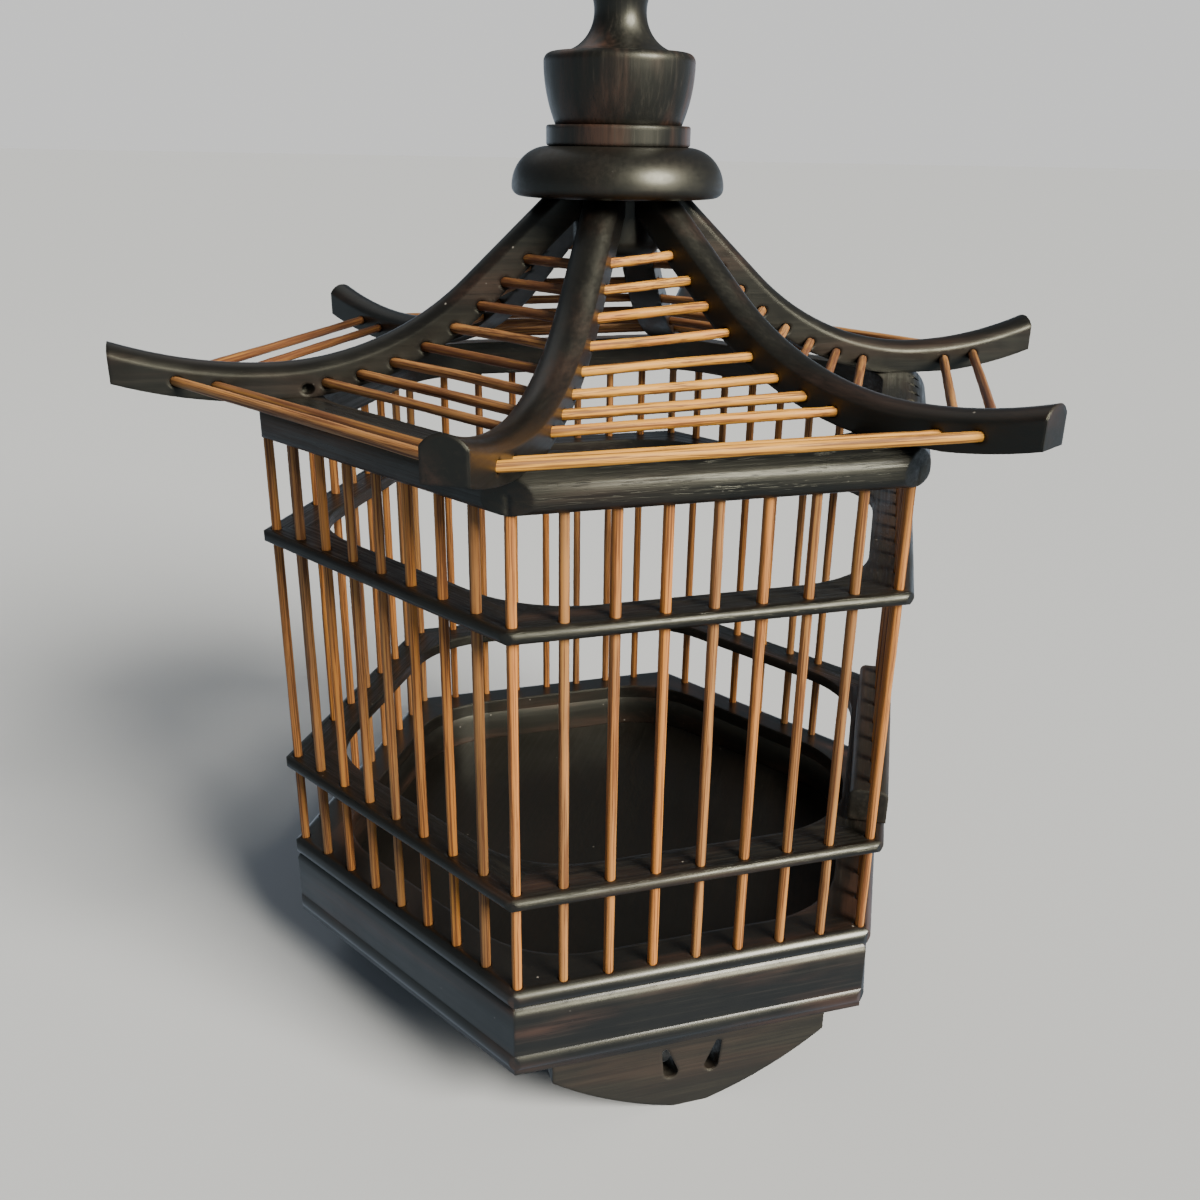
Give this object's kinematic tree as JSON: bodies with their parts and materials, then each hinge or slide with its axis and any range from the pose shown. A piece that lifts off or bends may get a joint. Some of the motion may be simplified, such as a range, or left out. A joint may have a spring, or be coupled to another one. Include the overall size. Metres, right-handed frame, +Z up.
{
  "type": "cricket cage",
  "caption": "Hexagonal pagoda-shaped cricket cage in dark hardwood with bamboo bars, upswept roof ribs, a turned finial and a lifting door.",
  "frame": {"origin": "on the cage's vertical axis, on the plane that the feet stand on", "axes": "+Z up along the axis; -Y is the side with the lifting door"},
  "size_m": [0.1656, 0.1464, 0.1896],
  "materials": {
    "base_wood": "satin oiled dark hardwood",
    "ring_wood": "satin oiled dark hardwood",
    "rib_wood": "satin oiled dark hardwood",
    "turned_wood": "polished turned dark hardwood",
    "wall_bamboo": "satin split bamboo",
    "roof_bamboo": "satin split bamboo"
  },
  "bodies": {
    "cage": {"base_frame": "base_wood", "floor_panel": "base_wood", "foot_front_left": "base_wood", "foot_front_right": "base_wood", "foot_back": "base_wood", "lower_ring": "ring_wood", "upper_ring": "ring_wood", "eave_ring": "ring_wood", "corner_bars": "wall_bamboo", "wall_bars_back_right": "wall_bamboo", "wall_bars_back": "wall_bamboo", "wall_bars_back_left": "wall_bamboo", "wall_bars_front_left": "wall_bamboo", "wall_bars_front_right": "wall_bamboo", "sill_bars": "wall_bamboo", "rib_right": "rib_wood", "rib_back_right": "rib_wood", "rib_back_left": "rib_wood", "rib_left": "rib_wood", "rib_front_left": "rib_wood", "rib_front_right": "rib_wood", "roof_bars_back_right": "roof_bamboo", "roof_bars_back": "roof_bamboo", "roof_bars_back_left": "roof_bamboo", "roof_bars_front_left": "roof_bamboo", "roof_bars_front": "roof_bamboo", "roof_bars_front_right": "roof_bamboo", "roof_hub": "rib_wood", "roof_boss": "turned_wood", "collar": "turned_wood", "finial": "turned_wood", "finial_dowel": "turned_wood"},
    "door": {"door_rail": "ring_wood", "door_bars": "wall_bamboo"}
  },
  "joints": [
    {"name": "door_lift", "type": "slide", "parent": "cage", "child": "door", "axis": [0, 0, 1], "range_m": [0, 0.0355]}
  ]
}
